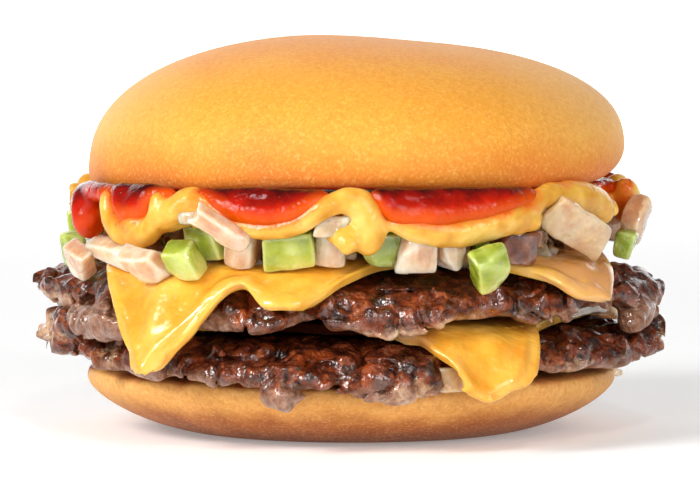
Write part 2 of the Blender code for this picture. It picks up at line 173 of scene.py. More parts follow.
def modified(mesh, kind, group=None, **settings):
    """What one modifier makes of the mesh, which is used up; a group holds the vertices it works on."""
    item = placed("rough", mesh)
    modifier = item.modifiers.new("shape", kind)
    if group is not None:
        item.vertex_groups.new(name="part").add(group, 1.0, "REPLACE")
        modifier.vertex_group = "part"
    for key, value in settings.items():
        setattr(modifier, key, value)
    graph = bpy.context.evaluated_depsgraph_get()
    result = bpy.data.meshes.new_from_object(item.evaluated_get(graph))
    bpy.data.objects.remove(item)
    bpy.data.meshes.remove(mesh)
    return result


def subdivided(node, levels, creases=0.0):
    """The CAD node's mesh, smooth and subdivided."""
    builder = node_builder(node)
    if creases:
        layer = builder.edges.layers.float.new("crease_edge")
        for edge in folded_edges(builder):
            edge[layer] = creases
    return modified(mesh_from(builder), "SUBSURF", levels=levels, use_limit_surface=False)


def noise_at(points, size, seed):
    """Smooth noise, about -1 to 1, at an array of points."""
    shift = Vector((seed * 17.3, seed * 5.1, seed * 9.7))
    return np.array([noise.noise(Vector(p) / size + shift) for p in points])


def surface_tree(mesh):
    return BVHTree.FromPolygons([v.co for v in mesh.vertices], [tuple(p.vertices) for p in mesh.polygons])


# ---- distance fields


def read_between(values, axis, place, soft=False):
    """A coarse grid's values at the given places along one axis."""
    index = place.astype(int)
    share = (place - index).astype(np.float32)
    if soft:
        share = share * share * (3 - 2 * share)
    share = share.reshape([-1 if a == axis else 1 for a in range(3)])
    return values.take(index, axis) * (1 - share) + values.take(index + 1, axis) * share


class Field:
    """Signed distance on a grid, negative inside, which can be carved, swollen and turned into a mesh."""

    def __init__(self, low, high, step, margin):
        low, high = (Vector(end) + Vector([margin] * 3) * sign for end, sign in ((low, -1), (high, 1)))
        self.low = np.array(low, float)
        self.step = step
        self.shape = tuple(int(math.ceil((b - a) / step)) + 1 for a, b in zip(low, high))
        self.value = np.full(self.shape, 10 * step, np.float32)

    def grid(self):
        sides = [low + np.arange(count) * self.step for low, count in zip(self.low, self.shape)]
        return np.meshgrid(*sides, indexing="ij", sparse=True)

    def noise(self, size, seed):
        """Smooth noise from -1 to 1 over the grid, features of about the given size."""
        coarse = [int(math.ceil(count * self.step / size)) + 3 for count in self.shape]
        values = np.random.default_rng(seed).uniform(-1, 1, coarse).astype(np.float32)
        for axis, count in enumerate(self.shape):
            values = read_between(values, axis, np.arange(count) * self.step / size + 0.37, True)
        return values

    def solid(self, node, spacing, offset):
        """Takes in a CAD node, sampled coarsely and then interpolated, grown by the offset."""
        tree = surface_tree(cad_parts[node].data)
        counts = [int(math.ceil((n - 1) * self.step / spacing)) + 2 for n in self.shape]
        coarse = np.empty(counts, np.float32)
        for index in np.ndindex(*counts):
            point = Vector(self.low + np.array(index) * spacing)
            place, normal, _, distance = tree.find_nearest(point)
            coarse[index] = distance if (point - place).dot(normal) > 0 else -distance
        for axis, count in enumerate(self.shape):
            coarse = read_between(coarse, axis, np.arange(count) * self.step / spacing)
        self.value = np.minimum(self.value, coarse - offset)

    def blob(self, centre, radii, axes, blend, carve=False):
        """Adds, or carves out, a soft ellipsoid."""
        reach = max(radii) + 2 * blend
        first = np.maximum(((np.array(centre) - reach - self.low) / self.step).astype(int), 0)
        last = np.minimum(((np.array(centre) + reach - self.low) / self.step).astype(int) + 2, self.shape)
        if (last - first).min() <= 0:
            return
        window = tuple(slice(a, b) for a, b in zip(first, last))
        sides = [self.low[a] + np.arange(first[a], last[a]) * self.step - centre[a] for a in range(3)]
        x, y, z = np.meshgrid(*sides, indexing="ij", sparse=True)
        stretched = [(x * axis[0] + y * axis[1] + z * axis[2]) / radius for axis, radius in zip(axes, radii)]
        length = np.sqrt(sum(part * part for part in stretched))
        sign = -1 if carve else 1
        distance = sign * ((length - 1) * min(radii)).astype(np.float32)
        here = self.value[window]
        mixing = np.clip(0.5 + sign * 0.5 * (here - distance) / blend, 0, 1)
        self.value[window] = here * (1 - mixing) + distance * mixing - sign * blend * mixing * (1 - mixing)

    def ball(self, centre, radius, blend):
        self.blob(centre, [radius] * 3, Matrix.Identity(3), blend)

    def blur(self, times):
        for axis in (0, 1, 2) * times:
            count = self.shape[axis]
            padded = self.value.take(np.clip(np.arange(-1, count + 1), 0, count - 1), axis)
            parts = [padded.take(range(k, k + count), axis) for k in range(3)]
            self.value = 0.25 * parts[0] + 0.5 * parts[1] + 0.25 * parts[2]

    def mesh(self):
        """The zero surface as a mesh of quads."""
        value = self.value
        inside = value < 0
        corners = [inside[i:i + value.shape[0] - 1, j:j + value.shape[1] - 1, k:k + value.shape[2] - 1]
                   for i in (0, 1) for j in (0, 1) for k in (0, 1)]
        count = sum(corner.astype(np.int8) for corner in corners)
        cells = np.argwhere((count > 0) & (count < 8))
        number = np.full(count.shape, -1, np.int32)
        number[tuple(cells.T)] = np.arange(len(cells))
        total = np.zeros((len(cells), 3))
        crossings = np.zeros(len(cells))
        unit = np.eye(3, dtype=int)
        for axis in range(3):
            others = [unit[a] for a in range(3) if a != axis]
            for i, j in ((0, 0), (0, 1), (1, 0), (1, 1)):
                start = cells + others[0] * i + others[1] * j
                a, b = value[tuple(start.T)], value[tuple((start + unit[axis]).T)]
                crossed = (a < 0) != (b < 0)
                share = np.where(crossed, a / np.where(crossed, a - b, 1), 0)
                place = start.astype(float)
                place[:, axis] += share
                total[crossed] += place[crossed]
                crossings += crossed
        points = total / crossings[:, None] * self.step + self.low
        quads = []
        for axis in range(3):
            one, two = (axis + 1) % 3, (axis + 2) % 3
            a = inside.take(range(value.shape[axis] - 1), axis)
            b = inside.take(range(1, value.shape[axis]), axis)
            for here, flip in ((a & ~b, False), (b & ~a, True)):
                places = np.argwhere(here)
                sides = places[:, [one, two]]
                last = np.array(value.shape)[[one, two]] - 1
                places = places[((sides > 0) & (sides < last)).all(1)]
                ring = [number[tuple((places + unit[one] * i + unit[two] * j).T)]
                        for i, j in ((-1, -1), (0, -1), (0, 0), (-1, 0))]
                quad = np.stack(ring, 1)
                quads.append(quad[:, ::-1] if flip else quad)
        points, quads = largest_part(points, np.concatenate(quads))
        mesh = bpy.data.meshes.new("field")
        mesh.from_pydata(points.tolist(), [], quads.tolist(), False)
        return mesh


def largest_part(points, quads):
    """Leaves out stray specks that hang free of the main part."""
    label = np.arange(len(points))
    ends, others = quads.ravel(), np.roll(quads, 1, 1).ravel()
    while True:
        lowest = label.copy()
        np.minimum.at(lowest, ends, label[others])
        np.minimum.at(lowest, others, label[ends])
        lowest = lowest[lowest]
        if (lowest == label).all():
            break
        label = lowest
    kept = label == np.bincount(label).argmax()
    number = np.cumsum(kept) - 1
    return points[kept], number[quads[kept[quads[:, 0]]]]


def lightened(mesh, inner_radius, share):
    """Thins out the mesh's hidden middle."""
    middle = np.nonzero(reaches(coordinates(mesh)) < inner_radius)[0]
    return modified(mesh, "DECIMATE", middle.tolist(), ratio=share, vertex_group_factor=100)


# ---- materials


class Look:
    """A procedural material; sizes and depths are in mm."""

    def __init__(self, name, **constants):
        self.material = bpy.data.materials.new(name)
        self.material.use_nodes = True
        self.tree = self.material.node_tree
        self.coords = self.add("TexCoord").outputs["Object"]
        self.give(**constants)

    def add(self, kind, inputs=None, **settings):
        node = self.tree.nodes.new("ShaderNode" + kind)
        for key, value in settings.items():
            setattr(node, key, value)
        for key, value in (inputs or {}).items():
            self.feed(node.inputs[key], value)
        return node

    def feed(self, socket, value):
        if isinstance(value, bpy.types.NodeSocket):
            self.tree.links.new(value, socket)
        elif hasattr(socket.default_value, "__len__") and len(value) == 3 and len(socket.default_value) == 4:
            socket.default_value = (*value, 1)
        else:
            socket.default_value = value

    def give(self, **inputs):
        """Sets inputs of the shader, with _ for each space of an input's name."""
        for key, value in inputs.items():
            self.feed(self.tree.nodes["Principled BSDF"].inputs[key.replace("_", " ")], value)

    def noise(self, size, detail=2.0, roughness=0.5, distortion=0.0):
        return self.add("TexNoise", {"Vector": self.coords, "Scale": 1 / (size * MM), "Detail": detail,
                                     "Roughness": roughness, "Distortion": distortion}).outputs["Fac"]

    def stored(self, name):
        """A value stored on the mesh."""
        return self.add("Attribute", attribute_name=name).outputs["Fac"]

    def soft(self, weight, *radius):
        self.give(Subsurface_Weight=weight, Subsurface_Radius=radius, Subsurface_Scale=1.0)

    def ramp(self, value, *stops):
        """Stops are (place, red, green, blue) in display values."""
        node = self.add("ValToRGB", {"Fac": value})
        elements = node.color_ramp.elements
        while len(elements) < len(stops):
            elements.new(0.5)
        for element, (place, *tint) in zip(elements, stops):
            element.position = place
            element.color = (*colour(*tint), 1)
        return node.outputs["Color"]

    def level(self, value, low, high, to_low=0.0, to_high=1.0):
        """Re-spans a value, held within its new ends."""
        return self.add("MapRange", {"Value": value, "From Min": low, "From Max": high,
                                     "To Min": to_low, "To Max": to_high}).outputs["Result"]

    def mix(self, share, one, two, strength=None):
        """Blends two colours, each a socket or a tuple of display values."""
        if strength is not None:
            share = self.math("MULTIPLY", share, strength)
        node = self.add("Mix", {0: share}, data_type="RGBA")
        for socket, tint in ((node.inputs[6], one), (node.inputs[7], two)):
            self.feed(socket, colour(*tint) if isinstance(tint, tuple) else tint)
        return node.outputs[2]

    def math(self, operation, one, two=0.0):
        return self.add("Math", {0: one, 1: two}, operation=operation).outputs[0]

    def part(self, axis):
        return self.add("SeparateXYZ", {"Vector": self.coords}).outputs[axis]

    def blurred(self, value, size, detail, roughness, spread):
        """Slow noise added to a value, so that the border between two colours isn't straight."""
        drift = self.level(self.noise(size, detail, roughness), 0.3, 0.7, -spread, spread)
        return self.math("ADD", value, drift)

    def bumps(self, *layers, socket="Normal"):
        """Layers of bumps, the finest first: (size, detail, roughness, depth, strength)."""
        under = {}
        for size, detail, roughness, depth, strength in layers:
            height = self.noise(size, detail, roughness)
            node = self.add("Bump", {"Height": height, "Distance": depth * MM, "Strength": strength, **under})
            under = {"Normal": node.outputs["Normal"]}
        self.give(**{socket: under["Normal"]})


def height_in(look, node):
    """0 at the node's lowest, 1 at its highest."""
    low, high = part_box(node)
    return look.level(look.part("Z"), low.z, high.z)


def crust_grain(look, crust, dark, pale, rough):
    """Fine speckle over a crust colour, and the matching bumps."""
    speckle = look.level(look.noise(1.1, 4, 0.7), 0.38, 0.68)
    crust = look.mix(speckle, crust, dark, 0.3 + 0.08 * rough)
    crust = look.mix(look.level(look.noise(0.6, 3), 0.5, 0.8), crust, pale, 0.4)
    look.give(Base_Color=crust, Specular_IOR_Level=0.22)
    look.bumps((0.8, 3, 0.65, 0.24 + 0.06 * rough, 0.6), (6, 2, 0.5, 0.5, 0.3))
    look.soft(0.1, 0.003, 0.0015, 0.0007)


def crown_look():
    look = Look("crown_crust", Roughness=0.48, IOR=1.4)
    height = height_in(look, "bun_top")
    crust = look.ramp(
        look.blurred(height, 20, 3, 0.5, 0.12), (0.0, 220, 126, 70), (0.06, 216, 120, 48),
        (0.2, 222, 136, 44), (0.42, 232, 160, 58), (0.75, 236, 164, 60), (1.0, 232, 148, 50))
    # Painted light: the crust is painted paler towards the left and right sides, above its lowest part, for
    # the lamps' glow there.
    side = look.level(look.math("ABSOLUTE", look.part("X")), 28 * MM, 56 * MM, 0.0, 0.7)
    crust = look.mix(look.level(height, 0.1, 0.4), crust, (246, 196, 112), side)
    crust_grain(look, crust, (192, 98, 28), (250, 204, 122), 0.0)
    return look


def heel_look():
    look = Look("heel_crust", Roughness=0.5, IOR=1.4)
    # Darker towards the bottom: partly a browner baked crust, partly painted shade where the heel curves
    # under.
    crust = look.ramp(
        look.blurred(height_in(look, "bun_bottom"), 9, 3, 0.5, 0.1), (0.0, 112, 50, 14), (0.16, 132, 64, 20),
        (0.36, 172, 98, 38), (0.6, 228, 164, 84), (0.88, 236, 176, 100), (1.0, 204, 116, 58))
    crust_grain(look, crust, (178, 98, 36), (252, 214, 142), 1.0)
    return look


# ---- bun


def make_bun():
    add_piece("crown", subdivided("bun_top", 3), crown_look(), ["bun_top"], "bun")
    add_piece("heel", subdivided("bun_bottom", 3), heel_look(), ["bun_bottom"], "bun")


# ---- patties


# What lies within these distances from the axis is hidden by the layers above and below.
PATTY_MIDDLE = 48 * MM
SAUCE_MIDDLE = 44 * MM


class Rim:
    """The lowest and highest points of a patty's rim at each azimuth."""

    def __init__(self, node, bins=48):
        points = coordinates(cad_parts[node].data)
        points = points[reaches(points) > PATTY_MIDDLE]
        place = (azimuths(points) % 360 / 360 * bins).astype(int) % bins
        known = np.unique(place)
        self.centres = (known + 0.5) * 360 / bins
        self.ends = [[end(points[place == k, 2]) for k in known] for end in (np.min, np.max)]

    def share(self, x, y, z):
        """0 at the rim's lowest, 1 at its highest."""
        low, high = (np.interp(azimuth_of(x, y), self.centres, end, period=360) for end in self.ends)
        return (z - low) / np.maximum(high - low, MM)


def rim_spots(node, count, inner_radius, seed):
    """Random places on a node's skin outside a radius, with the outward direction there."""
    chance = random.Random(seed)
    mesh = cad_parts[node].data
    mesh.calc_loop_triangles()
    corners = coordinates(mesh)
    triangles = [t for t in mesh.loop_triangles
                 if np.hypot(*corners[list(t.vertices)][:, :2].mean(0)) > inner_radius]
    for triangle in chance.choices(triangles, weights=[t.area for t in triangles], k=count):
        a, b, c = (Vector(corners[v]) for v in triangle.vertices)
        u, v = chance.random(), chance.random()
        if u + v > 1:
            u, v = 1 - u, 1 - v
        yield a + (b - a) * u + (c - a) * v, triangle.normal.copy()


def random_axes(chance):
    return Euler([chance.uniform(0, math.tau) for _ in range(3)]).to_matrix()


def store(mesh, name, values):
    attribute = mesh.attributes.new(name, "FLOAT", "POINT")
    attribute.data.foreach_set("value", np.ascontiguousarray(values, np.float32))


# Lumps of mince that sag past each patty's slab: (azimuth, distance, height, radius) in degrees and mm.
PATTY_LUMPS = {
    "patty_upper": (
        (-84, 55.5, 25.6, 2.2), (-77, 54.5, 25.2, 2.8), (-69, 55.4, 23.6, 3.0), (-64, 57.0, 22.8, 2.8),
        (-59, 57.6, 22.4, 2.8), (-54, 57.6, 22.4, 2.8), (-49, 57.6, 22.6, 2.6), (-44, 57.6, 23.0, 2.4),
        (-54, 57.0, 25.0, 2.6), (72, 57.0, 22.8, 2.2), (78, 57.2, 23.2, 2.6), (84, 57.6, 23.8, 2.6),
        (90, 58.2, 24.6, 2.4)),
    "patty_lower": (
        (-89, 57.5, 22.4, 2.0), (-83, 56.5, 22.6, 2.4), (-76, 56.2, 21.9, 2.4), (-70, 56.8, 21.2, 2.0),
        (-18, 55.6, 15.0, 2.6), (-14, 55.6, 13.8, 2.8), (-10, 55.6, 15.0, 2.6), (-13.6, 56.4, 11.8, 1.8),
        (5, 55.6, 15.6, 2.6), (10, 55.6, 14.6, 2.8), (14, 55.6, 15.6, 2.6), (9.6, 56.4, 12.6, 1.7),
        (88, 59.4, 20.6, 2.0)),
}


def kept_inside(points, reach):
    """The points with those close to the object's box, or past it, softly pressed back into it."""
    points = points.astype(float)
    for axis in (0, 1):
        for side, limit in ((-1, BOUNDS_BEFORE[0][axis]), (1, BOUNDS_BEFORE[1][axis])):
            start = side * limit - reach
            over = np.maximum(side * points[:, axis] - start, 0)
            points[:, axis] += side * (reach * np.tanh(over / reach) - over)
    return points


def patty_mesh(node, seed):
    """Seared mince: broad lumps and creases, a grainy crust above and a smoother, tender lower edge."""
    field = Field(*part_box(node), 0.5 * MM, 2.5 * MM)
    field.solid(node, 1.7 * MM, -0.4 * MM)
    limit = field.value - 1.2 * MM
    chance = random.Random(seed)
    rim = Rim(node)
    for place, outward in rim_spots(node, 420, 52 * MM, seed):
        share = float(rim.share(*place))
        size = chance.uniform(0.6, 1.5) * MM
        radii = (size * chance.uniform(1.0, 2.4), size, size * chance.uniform(0.6, 1.0))
        carve = chance.random() < 0.5
        depth = chance.uniform(-0.2, 0.3) if carve else chance.uniform(0.7, 1.1)
        if share > 0.22 or carve:
            field.blob(place - outward * size * depth, radii, random_axes(chance), 0.9 * MM, carve)
    field.value = np.maximum(field.value, limit)
    for azimuth, distance, height, radius in PATTY_LUMPS[node]:
        field.ball(spot(distance * MM, azimuth, height * MM), radius * MM, 3.0 * MM)
    seared = smoothstep(rim.share(*field.grid()), 0.1, 0.5)
    lumps = 0.75 * MM * field.noise(8 * MM, seed)
    lumps += 0.7 * MM * field.noise(3.6 * MM, seed + 1)
    creases = 1 - np.abs(field.noise(5.5 * MM, seed + 2))
    lumps += 1.0 * MM * np.clip(creases - 0.86, 0, 1) / 0.14
    grain = 0.5 * MM * field.noise(1.9 * MM, seed + 3)
    grain += 0.2 * MM * field.noise(1.05 * MM, seed + 4)
    field.value += (lumps + grain * (0.3 + 0.7 * seared)).astype(np.float32)
    mesh = lightened(field.mesh(), PATTY_MIDDLE, 0.25)
    points = kept_inside(coordinates(mesh), 0.8 * MM)
    set_coordinates(mesh, points)
    store(mesh, "height_share", rim.share(*points.T))
    store(mesh, "fat", fat_share(node, points))
    return mesh


# (azimuth, width, height share, reach of that share, strength) of the pale fatty stretches of each patty.
FAT_PATCHES = {
    "patty_upper": (
        (-88, 16, 0.0, 0.35, 0.9), (16, 16, 0.02, 0.22, 1.0), (42, 5, 0.1, 0.3, 0.7),
        (92, 10, 0.3, 0.5, 0.5), (150, 14, 0.0, 0.3, 0.7), (215, 16, 0.0, 0.3, 0.8)),
    "patty_lower": (
        (-90, 14, 0.75, 0.5, 1.0), (-58, 8, 0.4, 0.4, 0.5), (-14, 6, 0.0, 0.35, 0.4),
        (12, 8, 0.1, 0.45, 0.6), (48, 12, 0.2, 0.4, 0.5), (92, 10, 0.6, 0.4, 0.6), (180, 14, 0.2, 0.4, 0.6)),
}


def fat_share(node, points):
    azimuth = azimuths(points)
    height = Rim(node).share(*points.T)
    total = np.zeros(len(points))
    for centre, width, level, reach, strength in FAT_PATCHES[node]:
        patch = around(azimuth, centre, width) * bell(height - level, reach)
        total = np.maximum(total, strength * patch)
    return total


def meat_look():
    look = Look("seared_meat", IOR=1.45, Roughness=0.3, Specular_IOR_Level=0.3,
                Specular_Tint=(1.0, 0.72, 0.55), Coat_Roughness=0.04, Coat_IOR=1.75)
    drift = look.level(look.noise(6, 3, 0.6), 0.25, 0.75, -0.3, 0.3)
    seared = look.level(look.math("ADD", look.stored("height_share"), drift), 0.1, 0.38)
    crust = look.ramp(
        look.noise(3.0, 5, 0.68, 0.4), (0.34, 22, 7, 4), (0.44, 54, 19, 9), (0.53, 98, 40, 20),
        (0.62, 146, 72, 36), (0.76, 172, 114, 74))
    under = look.ramp(look.noise(1.8, 4, 0.65), (0.3, 96, 58, 42), (0.5, 142, 98, 74), (0.7, 180, 138, 112))
    crust = look.mix(look.level(look.noise(5, 2), 0.54, 0.66), crust, (150, 64, 24), 0.5)
    crust = look.mix(look.level(look.noise(7, 3, 0.6), 0.56, 0.68), crust, (36, 14, 9), 0.6)
    meat = look.mix(seared, under, crust)
    tallow = look.ramp(
        look.noise(2.4, 4, 0.6), (0.32, 150, 96, 66), (0.5, 204, 160, 122), (0.68, 228, 196, 160))
    pale = look.level(look.blurred(look.stored("fat"), 2.6, 4, 0.65, 0.35), 0.35, 0.75)
    look.give(Base_Color=look.mix(pale, meat, tallow, 0.85))
    look.bumps((0.6, 2, 0.5, 0.5, 0.8), (1.7, 2, 0.5, 1.2, 0.8))
    look.bumps((1.3, 2, 0.5, 0.6, 0.7), socket="Coat_Normal")
    look.give(Coat_Weight=look.level(look.noise(3.4, 2), 0.42, 0.58, 0.1, 0.9))
    look.soft(0.1, 0.002, 0.0008, 0.0005)
    return look


def make_patties():
    look = meat_look()
    for node, seed in (("patty_lower", 3), ("patty_upper", 8)):
        add_piece(node + "_meat", patty_mesh(node, seed), look, [node], "patty")


# ---- cheese


# For each slice: (azimuth, width in degrees, height in mm) of the soft ridges where it folds over the rim,
# then (azimuth, width, strength) of the browned stretches: partly meat juice, partly painted shade at the
# upper slice's right corner; past a strength of 1 they are painted shadow, near black, in the gap between the
# patties.
CHEESE_FOLDS = {
    "cheese_upper": (
        (-35.5, 3.2, 0.9), (-42, 3.0, -0.5), (-29, 4.0, -0.5), (-22, 3.0, 0.3), (-12, 4.0, 0.4),
        (40, 4.0, 0.5), (52, 3.0, 0.5), (46, 3.0, -0.4), (136, 4.0, 0.6), (144, 4.0, -0.4), (226, 4.0, 0.6),
        (234, 4.0, -0.4)),
    "cheese_lower": (
        (19.5, 2.2, 0.8), (15, 2.5, -0.4), (25, 3.0, -0.5), (30, 3.0, 0.4), (112, 4.0, 0.5),
        (120, 4.0, -0.4), (204, 4.0, 0.5), (212, 4.0, -0.4), (-58, 4.0, 0.4)),
}
CHEESE_JUICE = {
    "cheese_upper": ((58, 30, 1.0),),
    "cheese_lower": ((2, 16, 1.0), (-61, 14, 1.2), (-17, 17, 2.8)),
}


def around(azimuth, centre, width):
    """1 at an azimuth, falling away like a bell over the width."""
    return bell((azimuth - centre + 180) % 360 - 180, width)


def edge_distance(node, points):
    """Distance of each point from the slice's cut edge."""
    builder = node_builder(node)
    spots = []
    for edge in folded_edges(builder):
        a, b = (vertex.co for vertex in edge.verts)
        spots += [a.lerp(b, share / 8) for share in range(8)]
    builder.free()
    tree = kdtree.KDTree(len(spots))
    for index, place in enumerate(spots):
        tree.insert(place, index)
    tree.balance()
    return np.array([tree.find(Vector(point))[2] for point in points])


# The slices' hanging corners: (azimuth, how much wider to the left and right near the tip in degrees, over
# what height in mm).
CHEESE_TIPS = {
    "cheese_upper": ((-36.5, 2.2, 2.2, 2.0), (52, 0.5, 0.5, 2.0), (139, 1.4, 1.4, 2.0), (229, 1.4, 1.4, 2.0)),
    "cheese_lower": ((25, -0.75, 0.5, 8.0), (25, 1.5, 0.9, 1.6), (116, 1.2, 1.2, 2.0), (207, 1.2, 1.2, 2.0)),
}


def blunted(node, points):
    """The slice's points with its hanging corners reshaped into blunt drips."""
    points = points.astype(float)
    azimuth, reach = azimuths(points), reaches(points)
    shift, lift = np.zeros(len(points)), np.zeros(len(points))
    for corner, left, right, fade in CHEESE_TIPS[node]:
        off = (azimuth - corner + 180) % 360 - 180
        near = np.nonzero((np.abs(off) < 18) & (reach > 52 * MM))[0]
        tip = near[points[near, 2].argmin()]
        close = np.exp(-(points[near, 2] - points[tip, 2]) / (fade * MM))
        close *= smoothstep(18 - np.abs(off[near]), 0, 5)
        side = off[near] - off[tip]
        shift[near] += side * np.where(side < 0, left, right) * close
        lift[near] += (0.6 * fade * MM if fade < 3 else 0) * close
    angle = np.radians(azimuth + shift)
    points[:, 0], points[:, 1] = reach * np.sin(angle), -reach * np.cos(angle)
    points[:, 2] += lift
    return points


def cheese_mesh(node, seed):
    """The slice, softly melted: a swollen lip along its edge, folds over the rim, and a gentle wave."""
    mesh = subdivided(node, 3, 0.35)
    points = blunted(node, coordinates(mesh))
    set_coordinates(mesh, points)
    azimuth = azimuths(points)
    rim = edge_distance(node, points)
    hang = smoothstep(reaches(points), 53 * MM, 59 * MM)
    lip = 0.5 * bell(rim - 1.6 * MM, 1.1 * MM) - 0.4 * bell(rim - 4.6 * MM, 1.7 * MM)
    outward = np.sign(normals(mesh)[:, 2] + 0.3 * (points * normals(mesh))[:, :2].sum(1) / 0.05)
    folds = sum(height * around(azimuth, centre, width) for centre, width, height in CHEESE_FOLDS[node])
    wave = noise_at(points, 9 * MM, seed) * 0.5 + noise_at(points, 3.4 * MM, seed + 1) * 0.12
    amount = lip * hang + outward * hang * (folds + wave) + outward * (1 - hang) * wave * 0.5
    push(mesh, amount * MM)
    store(mesh, "rim", bell(rim, 0.9 * MM))
    # Paler on the raised fold ridges: partly milky cheese, partly a painted highlight along the folds.
    store(mesh, "milk", np.clip(folds, 0, 1) * hang)
    # Browning from meat juice, with painted shade at the upper slice's right corner; past 1 it is painted
    # shadow.
    store(mesh, "juice", sum(strength * around(azimuth, centre, width)
                             for centre, width, strength in CHEESE_JUICE[node]))
    return mesh


def cheese_look():
    look = Look("cheese", Coat_Roughness=0.08)
    juice = look.stored("juice")
    body = look.ramp(look.noise(7, 3, 0.55), (0.3, 226, 148, 38), (0.5, 236, 168, 54), (0.7, 244, 186, 78))
    streak = look.noise(3, 3, 0.6, 1.2)
    # Pale milky streaks, and the painted highlight on the fold ridges.
    pale = look.level(look.math("ADD", look.math("MULTIPLY", look.stored("milk"), 0.45), streak), 0.6, 1.0)
    body = look.mix(pale, body, (242, 190, 96), 0.4)
    # Tan browning: meat juice, and painted shade on the upper slice's right corner.
    brown = look.level(look.blurred(juice, 4, 3, 0.5, 0.3), 0.45, 1.0)
    body = look.mix(brown, body, (222, 162, 108), 0.8)
    body = look.mix(look.stored("rim"), body, (246, 202, 104), 0.4)
    # Painted shadow: near black where the strength passes 0.9, the shade in the gap between the patties.
    body = look.mix(look.level(juice, 0.9, 1.5), body, (44, 16, 8))
    look.bumps((1.2, 2, 0.5, 0.25, 0.5), (3.4, 2, 0.5, 0.9, 0.5))
    look.soft(0.35, 0.003, 0.0019, 0.0008)
    # No coat or gloss where the shadow is painted, so that it stays dark.
    clean = look.level(juice, 1.0, 1.6, 1.0, 0.0)
    wet = look.level(look.noise(5, 2), 0.42, 0.56, 0.1, 0.8)
    look.give(Base_Color=body, Coat_Weight=look.math("MULTIPLY", clean, wet),
              Specular_IOR_Level=look.math("MULTIPLY", clean, 0.3),
              Roughness=look.level(clean, 0.0, 1.0, 0.7, 0.24))
    return look


def make_cheeses():
    look = cheese_look()
    for node, seed in (("cheese_lower", 5), ("cheese_upper", 9)):
        add_piece(node + "_melted", cheese_mesh(node, seed), look, [node], "cheese")


# ---- sauces


# Strokes of sauce: each point is (azimuth, height share, thickness in mm, how far it stands out in mm), where
# the height goes from 0 at the mustard's lowest to 1 at the crown's underside.
MUSTARD_STROKES = (
    ((-55, 0.95, 1.1, 0.4), (-54.5, 0.7, 1.2, 0.8), (-53, 0.4, 1.3, 1.0), (-50, 0.14, 1.6, 1.2),
     (-45.5, 0.03, 1.8, 1.2), (-42, 0.14, 1.7, 1.2), (-40, 0.4, 1.5, 1.0), (-39.5, 0.72, 1.4, 0.8),
     (-39.8, 0.95, 1.3, 0.2)),
    ((-32.5, 0.86, 2.4, -0.6), (-34, 0.74, 2.6, 0.0), (-36, 0.56, 2.4, 0.4), (-38, 0.42, 2.0, 0.6)),
    ((-31, 0.98, 1.4, -0.4), (-28.5, 0.88, 1.4, 0.3), (-25.5, 0.7, 1.3, 0.5), (-22.5, 0.45, 1.3, 0.5),
     (-19.5, 0.36, 1.3, 0.4)),
    ((-21, 0.36, 1.4, 0.3), (-16, 0.34, 1.5, 0.4), (-12, 0.38, 1.5, 0.5), (-9, 0.5, 1.5, 0.5),
     (-5.5, 0.8, 1.5, 0.6), (-1, 0.98, 1.6, 0.4)),
    ((-1, 0.98, 1.8, 0.2), (2, 0.84, 2.4, 0.5), (3.5, 0.6, 2.6, 0.7), (4, 0.35, 2.5, 0.7),
     (3.6, 0.12, 2.2, 0.5), (3.2, 0.0, 1.6, 0.3)),
    ((8.5, 0.5, 1.3, 0.2), (12, 0.36, 1.9, 0.5), (17, 0.26, 2.4, 0.8), (22, 0.27, 2.5, 0.9),
     (27, 0.36, 2.4, 0.8), (33, 0.58, 2.2, 0.7), (38, 0.82, 1.9, 0.4), (41, 0.95, 1.6, 0)),
    ((42, 0.95, 2.0, 0), (49, 0.85, 2.4, 0.3), (55, 0.75, 2.7, 0.6), (60, 0.6, 2.8, 0.7),
     (62.5, 0.45, 2.4, 0.5)),
)
KETCHUP_STROKES = (
    ((-74, 0.84, 1.8, -1.5), (-71, 0.64, 2.6, 0), (-69.5, 0.42, 2.9, 0.2), (-69, 0.13, 2.8, 0.2)),
    ((-70, 0.9, 1.6, -1.4), (-58, 0.92, 1.6, -0.6), (-46, 0.96, 1.6, -0.6), (-38, 0.96, 1.4, -1.0)),
    ((-51, 0.95, 1.8, 0.4), (-49.5, 0.62, 2.4, 0.8), (-46.8, 0.38, 2.4, 1.0), (-44.4, 0.62, 2.2, 0.8),
     (-43, 0.95, 1.8, 0.4)),
    ((-30, 1.0, 1.3, -0.6), (-18, 0.99, 1.5, -0.6), (-5, 1.0, 1.3, -0.6)),
    ((-26.5, 0.88, 1.7, 0.4), (-22, 0.66, 2.0, 0.9), (-16, 0.62, 2.1, 1.0), (-11, 0.7, 1.9, 0.9),
     (-7, 0.92, 1.5, 0.4)),
    ((5, 1.0, 1.5, -0.6), (20, 0.99, 1.5, -0.6), (37, 0.99, 1.4, -0.6)),
    ((7, 0.85, 2.0, 0.4), (10, 0.62, 2.3, 0.9), (16, 0.62, 2.4, 1.0), (24, 0.68, 2.2, 0.9),
     (31, 0.84, 1.7, 0.5), (37, 0.94, 1.4, 0)),
    ((44, 1.12, 1.1, -1.2), (53, 1.08, 1.2, -1.4)),
    ((66, 1.0, 1.4, -1.0), (68, 0.7, 1.6, 0.4), (69, 0.4, 1.4, 0.6), (69.5, 0.12, 1.0, 0.4)),
)


def sauce_radius(bins=48):
    """How far the sauces reach out at each azimuth, evened out."""
    reach = np.zeros(bins)
    for node in ("mustard", "ketchup"):
        points = coordinates(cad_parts[node].data)
        place = np.round(azimuths(points) % 360 / 360 * bins).astype(int) % bins
        np.maximum.at(reach, place, reaches(points))
    reach = np.maximum(reach, 56 * MM)
    smooth = sum(np.roll(reach, shift) for shift in (-2, -1, 0, 1, 2)) / 5
    return lambda azimuth: round_about(azimuth, smooth)


